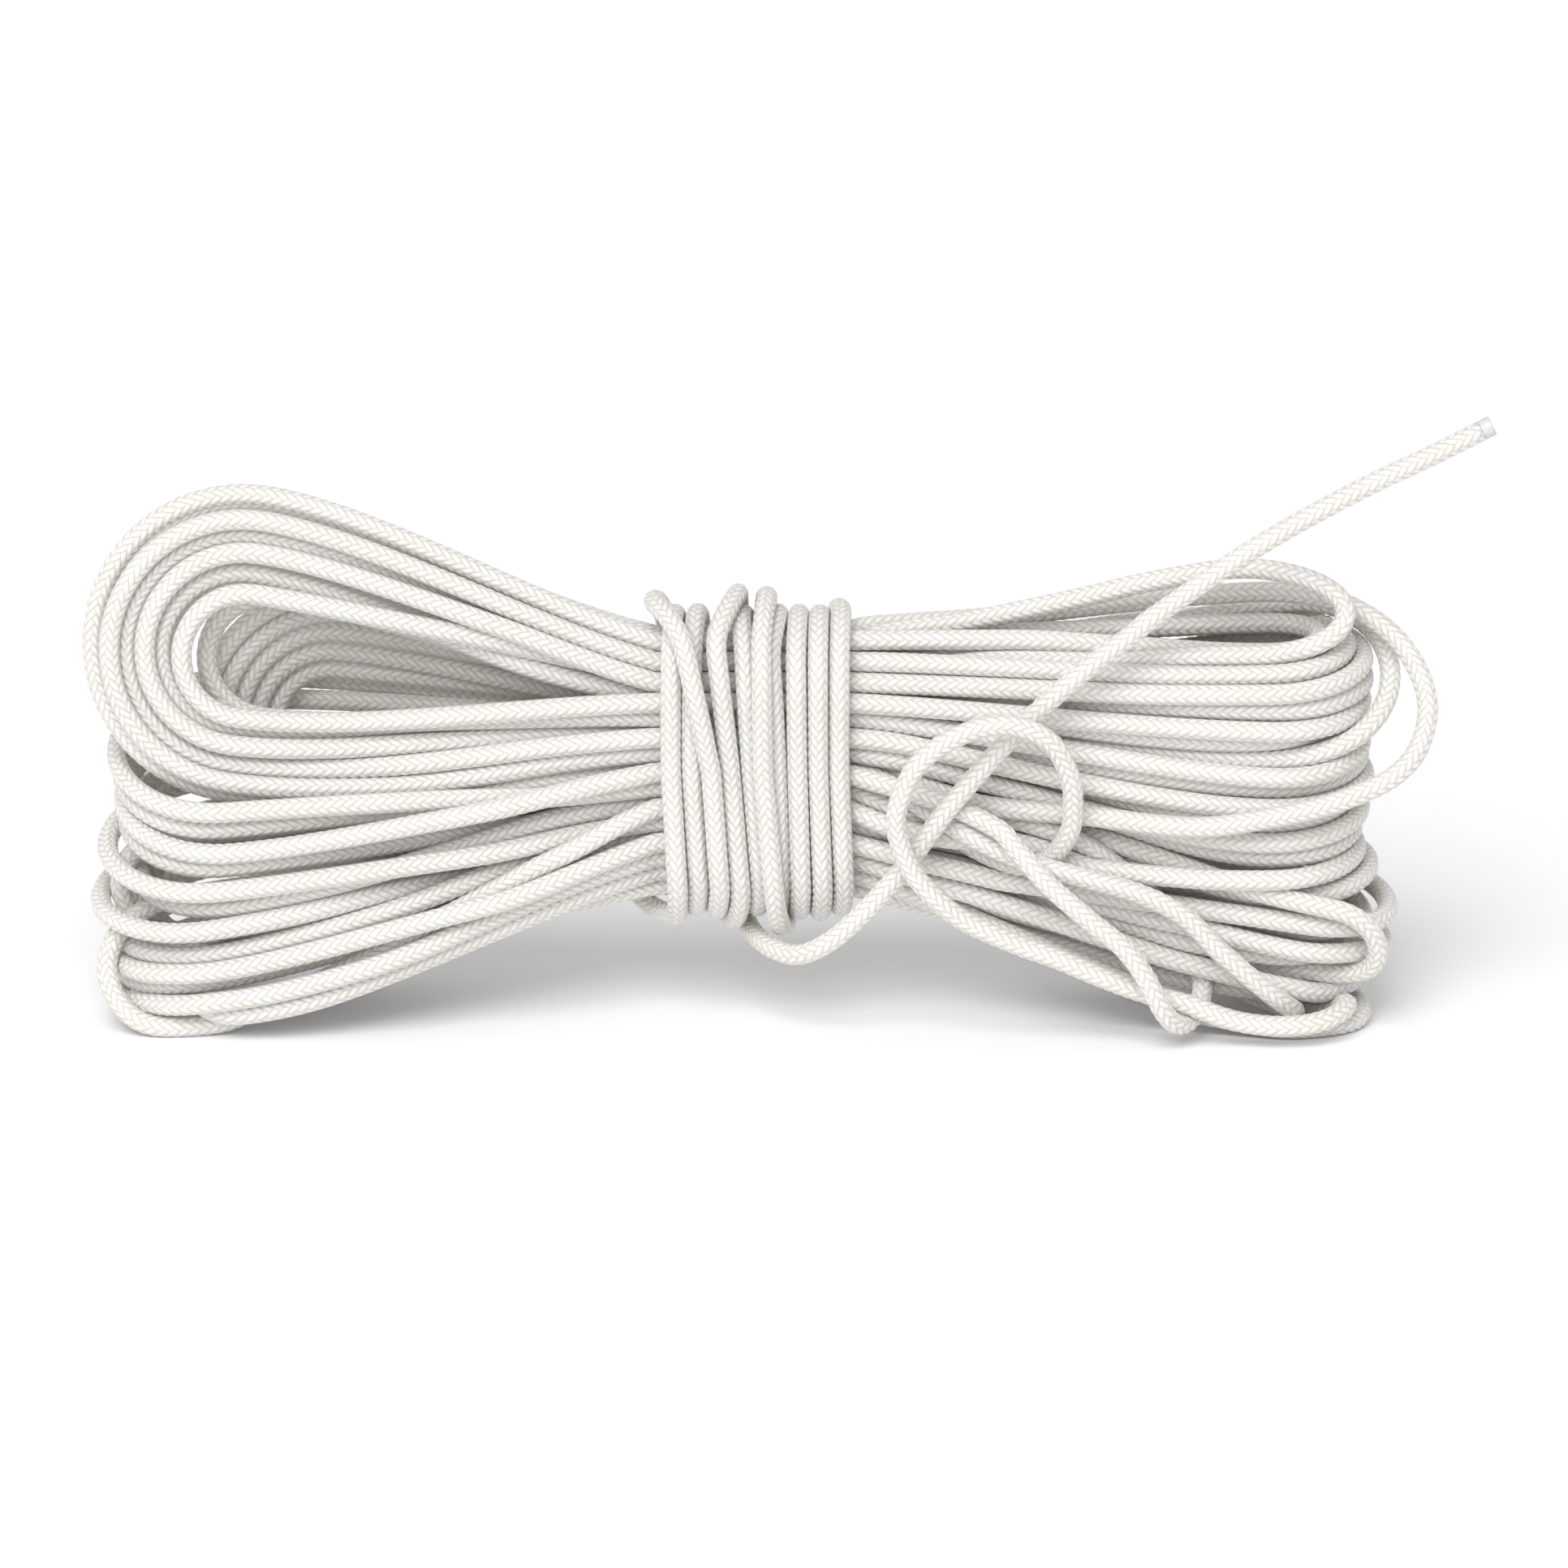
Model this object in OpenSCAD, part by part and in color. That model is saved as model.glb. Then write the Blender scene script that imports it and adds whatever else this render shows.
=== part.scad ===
// Coiled dock line: one braided line laid up as a hank, bound at the waist with its own tail.
// Units are millimetres. +X runs along the hank towards the tail's tip, +Y to the back, +Z up.
// The origin is on the floor, under the middle of the whole part.

/* [Line] */
// Diameter of the braided line
line_d = 6; // [5.5:0.1:6.2]
// How far the sealed skin reaches along each cut end
seal_len = 3; // [2:0.5:4]

/* [Hank] */
// Height of the strands at the waist
waist_h = 78; // [74:1:80]
// Depth of the strands at the waist
waist_t = 34; // [32:1:36]
// Length of the waist that the frapping covers
frapping_len = 54; // [50:1:56]
// Height of the middle of the waist above the floor
waist_z = 74; // [73:1:75]
// Height of the upper left loops
upper_left_top = 155; // [150:1:158]

/* [Hidden] */
$fn = 64;

waist_x = -10; // middle of the frapping
waist_left = waist_x - frapping_len / 2;
waist_right = waist_x + frapping_len / 2;

// Each fan of loops has a side outline in XZ or XY, and grows deeper away from the waist.
fan_full_depth_at = 70; // distance from the waist where a fan reaches its full depth

left_split_z = 70;
upper_left_r = (upper_left_top - left_split_z) / 2;
upper_left_x = -156;
upper_left_y = [-26, 26];
eye_r = 16;
eye_x = upper_left_x + 7;
eye_z = 110;
lower_left_r = 34;
lower_left_x = -154;
lower_left_y = [-34, 42];
lower_left_flat = 60; // length that lies on the floor

right_split_z = 40;
upper_right_top = 105;
upper_right_r = 30;
upper_right_x = 136;
lower_right_r = right_split_z / 2;
lower_right_x = 148;
lower_right_y = [-32, 32];
lower_right_flat = 40; // length that lies on the floor

// Routes of the single strands, as round points in order along the line.
small_stray_route = [[22, 4, 112], [50, 4, 115], [80, 2, 121], [105, 0, 127], [130, -3, 131],
                     [150, -7, 128], [160, -12, 121], [154, -17, 113], [138, -19, 109],
                     [118, -19, 109]];
large_stray_route = [[40, 12, 110], [62, 13, 112], [90, 12, 116], [118, 9, 120], [142, 5, 122],
                     [160, 1, 119], [174, -6, 110], [181, -14, 97], [179, -22, 85],
                     [171, -28, 77], [156, -32, 71], [138, -34, 67], [115, -34, 64]];
slack_ring_route = [[80, -32, 62], [81, -35, 70], [80, -38, 80], [74, -40, 91], [62, -41, 96],
                    [49, -41, 93], [37, -40, 84], [31, -39, 70], [32, -38, 60], [36, -38, 51],
                    [42, -38, 44], [50, -37, 37], [64, -37, 30], [76, -37, 25], [88, -37, 19],
                    [100, -36, 13], [112, -36, 8], [126, -36, 4]];
tail_root_route = [[-13, 6, 26], [-10, -6, 25], [-5, -17, 24], [3, -25, 24], [12, -29, 29],
                   [21, -30, 37], [31, -30, 48], [40, -30, 60], [49, -30, 72], [65, -31, 91],
                   [82, -33, 108], [98, -30, 120]];
// The tail bends at [99, -30, 121], in the gap between these two routes.
tail_route = [[100, -30, 122], [114, -29, 132], [130, -28, 143], [147, -27, 153],
              [164, -26, 162], [181, -25, 170], [195, -24, 177]];
start_end_route = [[22, 21, 66], [40, 25, 66], [60, 29, 64], [80, 33, 61], [96, 34, 56]];

tube_sides = 10;

// ---- Geometry helpers ----

function unit(v) = v / norm(v);

function direction(path, i) =
    unit(path[min(i + 1, len(path) - 1)] - path[max(i - 1, 0)]);

// Sideways vectors that turn with the path and don't twist round it.
function sideways(path, i) =
    let (along = direction(path, i))
    let (before = i == 0 ? (abs(along.z) < 0.9 ? [0, 0, 1] : [0, 1, 0]) : sideways(path, i - 1))
    unit(before - (before * along) * along);

// A round tube swept along a path, closed at both ends.
module tube(path, d) {
    rings = len(path);
    points = [for (i = [0 : rings - 1])
                  let (along = direction(path, i))
                  let (u = sideways(path, i))
                  let (v = cross(along, u))
                  for (k = [0 : tube_sides - 1])
                      let (a = 360 * k / tube_sides)
                      path[i] + d / 2 * (cos(a) * u + sin(a) * v)];
    walls = [for (i = [0 : rings - 2])
                 for (k = [0 : tube_sides - 1])
                     let (next = (k + 1) % tube_sides)
                     each [[i * tube_sides + k, (i + 1) * tube_sides + k, i * tube_sides + next],
                           [i * tube_sides + next, (i + 1) * tube_sides + k,
                            (i + 1) * tube_sides + next]]];
    first_cap = [for (k = [0 : tube_sides - 1]) k];
    last_cap = [for (k = [tube_sides - 1 : -1 : 0]) (rings - 1) * tube_sides + k];
    polyhedron(points = points, faces = concat(walls, [first_cap, last_cap]), convexity = 8);
}

// A straight round bar between two points.
module bar(from, to, d) {
    run = to - from;
    translate(from)
        rotate([0, acos(run.z / norm(run)), atan2(run.y, run.x)])
            cylinder(d = d, h = norm(run));
}

// A flat outline drawn in X and Z, made solid between two depths.
module standing_slab(y_range) {
    translate([0, y_range[1], 0])
        rotate([90, 0, 0])
            linear_extrude(y_range[1] - y_range[0])
                children();
}

// The space that a fan may fill: as deep as the waist beside it, and wider further out.
module fan_space(from, side, y_range) {
    full = from + side * fan_full_depth_at;
    past_end = from + side * 200;
    linear_extrude(200)
        polygon([[from, -waist_t / 2], [full, y_range[0]], [past_end, y_range[0]],
                 [past_end, y_range[1]], [full, y_range[1]], [from, waist_t / 2]]);
}

// The upright rounded section of the waist, grown by some amount all round.
module waist_section(grow = 0) {
    r = waist_t / 2 + grow;
    straight = waist_h / 2 - waist_t / 2;
    square([2 * r, 2 * straight], center = true);
    for (side = [-1, 1])
        translate([0, side * straight])
            circle(r);
}

module along_waist(from, to) {
    translate([from, 0, waist_z])
        rotate([90, 0, 90])
            linear_extrude(to - from)
                children();
}

// ---- Sub-parts ----

module waist() {
    color("ivory")
        along_waist(waist_left, waist_right)
            waist_section();
}

// The turns of line that bind the waist.
module frapping() {
    color("white")
        along_waist(waist_left, waist_right)
            difference() {
                waist_section(line_d);
                waist_section();
            }
}

// Loops that stand up at the left as one open eye.
module upper_left_bights() {
    waist_top = waist_z + waist_h / 2;
    color("snow")
        intersection() {
            fan_space(waist_left, -1, upper_left_y);
            standing_slab(upper_left_y)
                difference() {
                    union() {
                        translate([upper_left_x, upper_left_top - upper_left_r])
                            circle(upper_left_r);
                        polygon([[waist_left, left_split_z], [waist_left, waist_top],
                                 [-80, 138], [-120, 150], [upper_left_x, upper_left_top],
                                 [upper_left_x, left_split_z]]);
                    }
                    translate([eye_x, eye_z])
                        circle(eye_r);
                    polygon([[eye_x, eye_z + eye_r], [-80, 108], [-70, 101], [-100, 94],
                             [eye_x, eye_z - eye_r]]);
                }
        }
}

// Loops that fan down to the floor at the left.
module lower_left_bights() {
    waist_bottom = waist_z - waist_h / 2;
    color("linen")
        intersection() {
            fan_space(waist_left, -1, lower_left_y);
            standing_slab(lower_left_y)
                union() {
                    translate([lower_left_x, lower_left_r])
                        circle(lower_left_r);
                    polygon([[lower_left_x, 0], [lower_left_x + lower_left_flat, 0],
                             [waist_left, waist_bottom], [waist_left, left_split_z],
                             [lower_left_x, left_split_z],
                             [lower_left_x - 20, left_split_z - 8]]);
                }
        }
}

// Loops stacked one above another at the right, each turning from the front to the back.
module upper_right_bights() {
    y_range = [-upper_right_r, upper_right_r];
    color("seashell")
        intersection() {
            fan_space(waist_right, 1, y_range);
            translate([0, 0, right_split_z])
                linear_extrude(upper_right_top - right_split_z)
                    union() {
                        translate([upper_right_x, 0])
                            circle(upper_right_r);
                        translate([waist_right, -upper_right_r])
                            square([upper_right_x - waist_right, 2 * upper_right_r]);
                    }
        }
}

// Loops that come down to the floor at the right.
module lower_right_bights() {
    waist_bottom = waist_z - waist_h / 2;
    flat_start = lower_right_x - lower_right_flat;
    color("floralwhite")
        intersection() {
            fan_space(waist_right, 1, lower_right_y);
            union() {
                standing_slab(lower_right_y)
                    translate([lower_right_x, lower_right_r])
                        circle(lower_right_r);
                standing_slab(lower_right_y)
                    polygon([[waist_right, waist_bottom], [waist_right, right_split_z],
                             [lower_right_x, right_split_z], [lower_right_x, 0],
                             [flat_start, 0]]);
            }
        }
}

module small_stray_loop() {
    color("white")
        tube(small_stray_route, line_d);
}

module large_stray_loop() {
    color("whitesmoke")
        tube(large_stray_route, line_d);
}

module slack_ring() {
    color("ghostwhite")
        tube(slack_ring_route, line_d);
}

module tail_root() {
    color("white")
        tube(tail_root_route, line_d);
}

module tail() {
    color("whitesmoke")
        tube(tail_route, line_d);
}

// The melted and hardened skin on a cut end.
module seal(route) {
    last = len(route) - 1;
    along = unit(route[last] - route[last - 1]);
    color("silver")
        bar(route[last], route[last] + seal_len * along, line_d - 0.2);
}

module tail_seal() {
    seal(tail_route);
}

module start_end() {
    color("ivory")
        tube(start_end_route, line_d);
}

module start_seal() {
    seal(start_end_route);
}

waist();
frapping();
upper_left_bights();
lower_left_bights();
upper_right_bights();
lower_right_bights();
small_stray_loop();
large_stray_loop();
slack_ring();
tail_root();
tail();
tail_seal();
start_end();
start_seal();
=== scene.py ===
"""Coiled dock line: one braided line laid up as a hank and bound at the waist. Units are metres."""

import math

import bpy
import numpy as np
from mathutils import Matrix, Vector


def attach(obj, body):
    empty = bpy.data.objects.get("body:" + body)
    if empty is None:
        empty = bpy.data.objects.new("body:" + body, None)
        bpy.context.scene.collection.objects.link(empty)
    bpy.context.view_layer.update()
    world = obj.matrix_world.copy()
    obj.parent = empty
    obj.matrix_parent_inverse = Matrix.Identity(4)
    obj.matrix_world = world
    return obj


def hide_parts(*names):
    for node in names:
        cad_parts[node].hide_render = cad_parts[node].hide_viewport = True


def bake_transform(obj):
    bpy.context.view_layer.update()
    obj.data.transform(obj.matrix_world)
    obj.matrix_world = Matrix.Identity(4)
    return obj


# ---- Driving sizes, the same as in the CAD ----

LINE_D = 0.006
SEAL_LEN = 0.003
WAIST_H = 0.078
WAIST_T = 0.034
WAIST_X = -0.010
WAIST_Z = 0.074
FRAPPING_LEN = 0.054
WAIST_LEFT = WAIST_X - FRAPPING_LEN / 2
WAIST_RIGHT = WAIST_X + FRAPPING_LEN / 2

# ---- How the strands lie ----

SEED = 7
POINT_GAP = 0.0045  # between the points of the line while it is laid up
SPAN_STEPS = 12  # steps between two given points of a smooth line, before it is divided evenly
RUN_POINTS = 40  # points of a run from the waist to a loop's round end, before it is divided evenly
ROUND_POINTS = 32  # points of a round end, before it is divided evenly
RUN_PULL = 0.8  # how strongly a run keeps the directions of its two ends
WAIST_PULL = 0.4  # how strongly a loop's legs keep the waist's direction where they leave it
LEFT = -1
RIGHT = 1

ROWS = [2, 3, 4, 5, 4, 5, 4, 5, 4, 5, 4, 5, 4, 3, 2]  # strands in each row of the waist, from the top
COLUMN_GAP = 0.0065  # between the strands of a row
EDGE_Y = 0.013  # how far to the front and back the strands of the fans enter the waist
EDGE_STEP = 0.0035  # every other loop enters that much nearer to the middle

# Routes of the single strands: the same points as the CAD's.
SMALL_STRAY = [(0.022, 0.004, 0.112), (0.050, 0.004, 0.115), (0.080, 0.002, 0.121), (0.105, 0.0, 0.127),
               (0.130, -0.003, 0.131), (0.150, -0.007, 0.128), (0.160, -0.012, 0.121),
               (0.154, -0.017, 0.113), (0.138, -0.019, 0.109), (0.118, -0.019, 0.109)]
LARGE_STRAY = [(0.040, 0.012, 0.110), (0.062, 0.013, 0.112), (0.090, 0.012, 0.116),
               (0.118, 0.009, 0.120), (0.142, 0.005, 0.122), (0.160, 0.001, 0.119),
               (0.174, -0.006, 0.110), (0.181, -0.014, 0.097), (0.179, -0.022, 0.085),
               (0.171, -0.028, 0.077), (0.156, -0.032, 0.071), (0.138, -0.034, 0.067),
               (0.115, -0.034, 0.064)]
SLACK_RING = [(0.080, -0.032, 0.062), (0.081, -0.035, 0.070), (0.080, -0.038, 0.080),
              (0.074, -0.040, 0.091), (0.062, -0.041, 0.096), (0.049, -0.041, 0.093),
              (0.037, -0.040, 0.084), (0.031, -0.039, 0.070), (0.032, -0.038, 0.060),
              (0.036, -0.038, 0.051), (0.042, -0.038, 0.044), (0.050, -0.037, 0.037),
              (0.064, -0.037, 0.030), (0.076, -0.037, 0.025), (0.088, -0.037, 0.019),
              (0.100, -0.036, 0.013), (0.112, -0.036, 0.008), (0.126, -0.036, 0.004)]
TAIL_ROOT = [(-0.013, 0.006, 0.026), (-0.010, -0.006, 0.025), (-0.005, -0.017, 0.024),
             (0.003, -0.025, 0.024), (0.012, -0.029, 0.029), (0.021, -0.030, 0.037),
             (0.031, -0.030, 0.048), (0.040, -0.030, 0.060), (0.049, -0.030, 0.072),
             (0.065, -0.031, 0.091), (0.082, -0.033, 0.108), (0.098, -0.030, 0.120)]
TAIL = [(0.100, -0.030, 0.122), (0.114, -0.029, 0.132), (0.130, -0.028, 0.143), (0.147, -0.027, 0.153),
        (0.164, -0.026, 0.162), (0.181, -0.025, 0.170), (0.195, -0.024, 0.177)]
START_END = [(0.022, 0.021, 0.066), (0.040, 0.025, 0.066), (0.060, 0.029, 0.064), (0.080, 0.033, 0.061),
             (0.096, 0.034, 0.056)]

# Stretches that join those routes to the waist.
SMALL_STRAY_BACK = [(0.095, -0.014, 0.107), (0.060, -0.008, 0.107)]
LARGE_STRAY_BACK = [(0.085, -0.026, 0.065), (0.050, -0.018, 0.067)]
RING_LEAD = [(0.045, -0.014, 0.056), (0.062, -0.018, 0.050), (0.074, -0.025, 0.053)]
RING_RETURN = [(0.140, -0.037, 0.003), (0.152, -0.034, 0.003), (0.159, -0.025, 0.003),
               (0.157, -0.013, 0.003), (0.147, -0.005, 0.004), (0.130, 0.001, 0.010),
               (0.100, 0.006, 0.022), (0.065, 0.008, 0.034)]
# Two narrow loops at the right that lie over the others and come down to the floor.
FIRST_NARROW = [(0.056, -0.028, 0.063), (0.065, -0.032, 0.057), (0.075, -0.035, 0.047),
                (0.086, -0.038, 0.038), (0.095, -0.040, 0.031), (0.101, -0.042, 0.023),
                (0.105, -0.043, 0.014), (0.110, -0.039, 0.007), (0.116, -0.029, 0.006),
                (0.118, -0.020, 0.012), (0.114, -0.017, 0.023), (0.105, -0.018, 0.036),
                (0.088, -0.021, 0.050), (0.065, -0.020, 0.058)]
SECOND_NARROW = [(0.050, -0.022, 0.058), (0.080, -0.029, 0.051), (0.100, -0.031, 0.045),
                 (0.113, -0.032, 0.038), (0.123, -0.033, 0.028), (0.134, -0.033, 0.018),
                 (0.143, -0.030, 0.010), (0.147, -0.020, 0.006), (0.142, -0.009, 0.006),
                 (0.130, -0.006, 0.009), (0.110, -0.010, 0.017), (0.080, -0.012, 0.029),
                 (0.050, -0.010, 0.038)]
FRAPPING_LEAD = [(-0.048, 0.016, 0.093), (-0.056, 0.020, 0.080), (-0.058, 0.025, 0.062),
                 (-0.054, 0.025, 0.046), (-0.045, 0.018, 0.034), (-0.036, 0.007, 0.029)]

# One row for each frapping turn: its X at the front's bottom, middle and top and over the crown, and
# how many diameters it is lifted at the bottom, middle and top by the turns that it crosses.
FRAPPING_TURNS = [(-0.0290, -0.0315, -0.0322, -0.0320, 0.3, 0.0, 0.0),
                  (-0.0240, -0.0266, -0.0265, -0.0255, 0.0, 0.0, 0.0),
                  (-0.0185, -0.0215, -0.0290, -0.0375, 0.3, 0.0, 0.5),
                  (-0.0130, -0.0155, -0.0195, -0.0125, 0.2, 0.0, 0.5),
                  (-0.0080, -0.0100, -0.0125, -0.0140, 0.0, 0.0, 0.0),
                  (-0.0015, -0.0020, -0.0030, 0.0000, 0.0, 0.0, 0.0),
                  (0.0037, 0.0027, 0.0022, 0.0027, 0.3, 0.0, 0.0),
                  (0.0094, 0.0080, 0.0075, 0.0075, 0.3, 0.0, 0.0),
                  (0.0152, 0.0133, 0.0129, 0.0129, 0.1, 0.0, 0.0),
                  (-0.0030, -0.0065, -0.0060, -0.0040, 0.8, 0.3, 0.6)]


def unit(v):
    v = np.asarray(v, float)
    return v / np.linalg.norm(v)


def distances_along(line):
    steps = np.linalg.norm(np.diff(line, axis=0), axis=1)
    return np.concatenate([[0.0], np.cumsum(steps)])


def evenly(line, gap=POINT_GAP):
    """The same line with its points a gap apart."""
    along = distances_along(line)
    count = max(2, int(round(along[-1] / gap)) + 1)
    at = np.linspace(0, along[-1], count)
    return np.stack([np.interp(at, along, line[:, k]) for k in range(3)], axis=1)


def through(points, gap=POINT_GAP):
    """A smooth line through the points."""
    p = np.asarray(points, float)
    p = np.vstack([2 * p[0] - p[1], p, 2 * p[-1] - p[-2]])
    a, b, c, d = (p[i : len(p) - 3 + i, None, :] for i in range(4))
    t = np.linspace(0, 1, SPAN_STEPS, endpoint=False)[None, :, None]
    run = (2 * b + (c - a) * t + (2 * a - 5 * b + 4 * c - d) * t**2 + (3 * b - a - 3 * c + d) * t**3) / 2
    return evenly(np.vstack([run.reshape(-1, 3), p[-2]]), gap)


def leaning_run(a, b, from_dir, to_dir):
    """A smooth run from a to b that leaves and arrives in the given directions."""
    t = np.linspace(0, 1, RUN_POINTS)[:, None]
    reach = np.linalg.norm(b - a) * RUN_PULL
    return ((2 * t**3 - 3 * t**2 + 1) * a + (t**3 - 2 * t**2 + t) * reach * from_dir
            + (3 * t**2 - 2 * t**3) * b + (t**3 - t**2) * reach * to_dir)


# ---- The waist ----


def waist_slots():
    """The strands' places in the waist's section, as (y, z), from the top and from front to back."""
    top = WAIST_Z + WAIST_H / 2 - LINE_D / 2
    pitch = (WAIST_H - LINE_D) / (len(ROWS) - 1)
    return np.array([((k - (n - 1) / 2) * COLUMN_GAP, top - row * pitch)
                     for row, n in enumerate(ROWS) for k in range(n)])


def section_point(turn, out):
    """A point of the waist's rounded section, grown by out. turn is 0 at the bottom, grows up the
    front, is 0.5 over the top and 1 at the bottom again."""
    r = WAIST_T / 2 + out
    straight = WAIST_H - WAIST_T
    low = WAIST_Z - straight / 2
    high = WAIST_Z + straight / 2
    quarter = math.pi * r / 2
    s = (turn % 1.0) * (4 * quarter + 2 * straight)
    mirror = 1.0
    if s > 2 * quarter + straight:
        s = 4 * quarter + 2 * straight - s
        mirror = -1.0
    if s < quarter:
        return -mirror * r * math.sin(s / r), low - r * math.cos(s / r)
    if s < quarter + straight:
        return -mirror * r, low + s - quarter
    a = (s - quarter - straight) / r
    return -mirror * r * math.cos(a), high + r * math.sin(a)


# Where the four places given for a frapping turn are, as parts of the way round.
FRONT_BOTTOM = 0.10
FRONT_MIDDLE = 0.26
FRONT_TOP = 0.42
CROWN = 0.50
FRAPPING_START = 0.02
FRAPPING_STOP = 0.04  # this much of the last turn is left out
FRAPPING_END = (-0.014, 0.2)  # X and lift where the last turn ends
TURN_POINTS = 48


def frapping_line():
    """The turns that bind the waist. Each goes up the front, over the top and down the back."""
    keys = []
    for k, (bottom, middle, top, crown, low, level, high) in enumerate(FRAPPING_TURNS):
        keys += [(k + FRONT_BOTTOM, bottom, low), (k + FRONT_MIDDLE, middle, level),
                 (k + FRONT_TOP, top, high), (k + CROWN, crown, high)]
    turns = len(FRAPPING_TURNS)
    keys.append((turns, *FRAPPING_END))
    keys = np.array(keys)
    turn = np.linspace(FRAPPING_START, turns - FRAPPING_STOP, TURN_POINTS * turns)
    x = np.interp(turn, keys[:, 0], keys[:, 1])
    lift = np.interp(turn, keys[:, 0], keys[:, 2])
    places = [section_point(t, LINE_D * (0.5 + up)) for t, up in zip(turn, lift)]
    return evenly(np.array([(a, y, z) for a, (y, z) in zip(x, places)]))


# ---- The loops ----


class Loop:
    """A loop at one side of the waist.

    entries are the (y, z) of the two places where it wants to enter the waist. Its far end is either a
    half circle or a route of its own. The half circle points outwards and lift degrees upwards, and
    across is the way from its first leg to its second."""

    def __init__(self, side, entries, centre=None, radius=0.0, lift=0.0, across=(0, 1, 0), route=None):
        self.side = side
        self.entries = np.asarray(entries, float)
        self.centre = centre
        self.radius = radius
        self.lift = lift
        self.across = across
        self.route = route
        self.slots = [None, None]

    def line(self, slots):
        """The loop's points from its first slot to its second."""
        x = WAIST_LEFT if self.side == LEFT else WAIST_RIGHT
        first, last = (np.array([x, *slots[s]]) for s in self.slots)
        if self.route is not None:
            return through([first, *self.route, last])
        angle = math.radians(self.lift)
        out = np.array([self.side * math.cos(angle), 0, math.sin(angle)])
        across = np.asarray(self.across, float)
        across = unit(across - (across @ out) * out)
        turn = np.linspace(0, math.pi, ROUND_POINTS)[:, None]
        end = self.centre + self.radius * (np.sin(turn) * out - np.cos(turn) * across)
        straight = np.array([self.side, 0, 0])
        leave = unit(WAIST_PULL * straight + unit(end[0] - first))
        come = unit(WAIST_PULL * straight + unit(end[-1] - last))
        return evenly(np.vstack([leaning_run(first, end[0], leave, out)[:-1], end,
                                 leaning_run(end[-1], last, -out, -come)[1:]]))


# Radius of the first loop of each group, and how much smaller each next one or every other one is.
EYE_RINGS = 6
EYE_R = 0.0425
EYE_STEP = 0.0049
BACK_RINGS = 5
BACK_R = 0.0365
BACK_STEP = 0.0052
LEFT_FLAT_LOOPS = 11
LEFT_FLAT_R = 0.0305
LEFT_FLAT_STEP = 0.0025
LEFT_FLAT_PITCH = 0.0057  # how much lower each flat loop lies at the front
LEFT_RISE = 0.0258  # how much higher the uppermost flat loops are at the back than at the front
LEFT_RISE_STEP = 0.0027
STACK_LOOPS = 12
STACK_R = 0.0270
STACK_STEP = 0.0020
STACK_PITCH = 0.0055
RIGHT_FLOOR_LOOPS = 7
RIGHT_FLOOR_R = 0.0240
RIGHT_FLOOR_STEP = 0.0020
RIGHT_FLOOR_PITCH = 0.0050


def left_loops(rng):
    loops = []
    # Rings round the open eye, from the outermost in.
    for k in range(EYE_RINGS):
        centre = (-0.1535 + rng.normal(0, 0.0012), -0.011 - 0.0035 * (k % 2),
                  0.1115 - 0.0006 * k + rng.normal(0, 0.0008))
        entries = [(-EDGE_Y, 0.074 + 0.0042 * k), (0.006 * (k % 3 - 1), 0.111 - 0.0017 * k)]
        loops.append(Loop(LEFT, entries, centre, EYE_R - EYE_STEP * k, 9, (0, 0.1, 1)))
    # Rings close behind those, where they leave gaps.
    for radius, x, z in ((0.0400, -0.1525, 0.1065), (0.0210, -0.1525, 0.1060), (0.0195, -0.1450, 0.1040)):
        entries = [(0.002, 0.108 - 0.8 * radius), (0.006, 0.092 + 0.4 * radius)]
        loops.append(Loop(LEFT, entries, (x, 0.0, z), radius, 8, (0, 0.1, 1)))
    # Rings one inside the other further back, lower than the eye and seen through it.
    for k in range(BACK_RINGS):
        centre = (-0.129 - 0.0004 * k, 0.003 + 0.0030 * k, 0.0850 - 0.0012 * k)
        entries = [(0.004 + 0.001 * k, 0.066 + 0.002 * k), (0.006 + 0.001 * k, 0.104 - 0.004 * k)]
        loops.append(Loop(LEFT, entries, centre, BACK_R - BACK_STEP * k, 4, (0, 0.15, 1)))
    # Flat loops that fan down to the floor, wide and narrow in turn.
    for k in range(LEFT_FLAT_LOOPS):
        radius = LEFT_FLAT_R - LEFT_FLAT_STEP * (k % 2)
        rise = LEFT_RISE - LEFT_RISE_STEP * max(k - 1, 0)
        centre = (-0.160 + 0.001 * (k % 3) + rng.normal(0, 0.002), 0.001 * (k % 2),
                  0.0655 - LEFT_FLAT_PITCH * k + rise / 2)
        y = EDGE_Y - EDGE_STEP * (k % 2)
        z = 0.0735 - 0.0031 * k
        crossing = 0.0045 * (k % 3 - 1)
        entries = [(-y, z + crossing), (y, z - crossing + 0.010 * 0.8**k)]
        loops.append(Loop(LEFT, entries, centre, radius, -4 - 0.7 * k, (0, 2 * radius, rise)))
    # Upright loops at the far left and at the lower front.
    loops += [
        Loop(LEFT, [(-0.006, 0.044), (-0.006, 0.062)], (-0.1735, -0.004, 0.036), 0.0175, -3, (0, 0.1, 1)),
        Loop(LEFT, [(0.0, 0.050), (0.0, 0.064)], (-0.1705, 0.004, 0.034), 0.0140, -3, (0, 0.3, 1)),
        Loop(LEFT, [(-EDGE_Y, 0.063), (0.0, 0.052)], (-0.170, -0.017, 0.0205), 0.0195, -10,
             (0, 0.55, 0.84)),
        Loop(LEFT, [(-0.006, 0.038), (0.004, 0.047)], (-0.158, -0.017, 0.0160), 0.0145, -8,
             (0, 0.8, 0.6)),
    ]
    return loops


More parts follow.
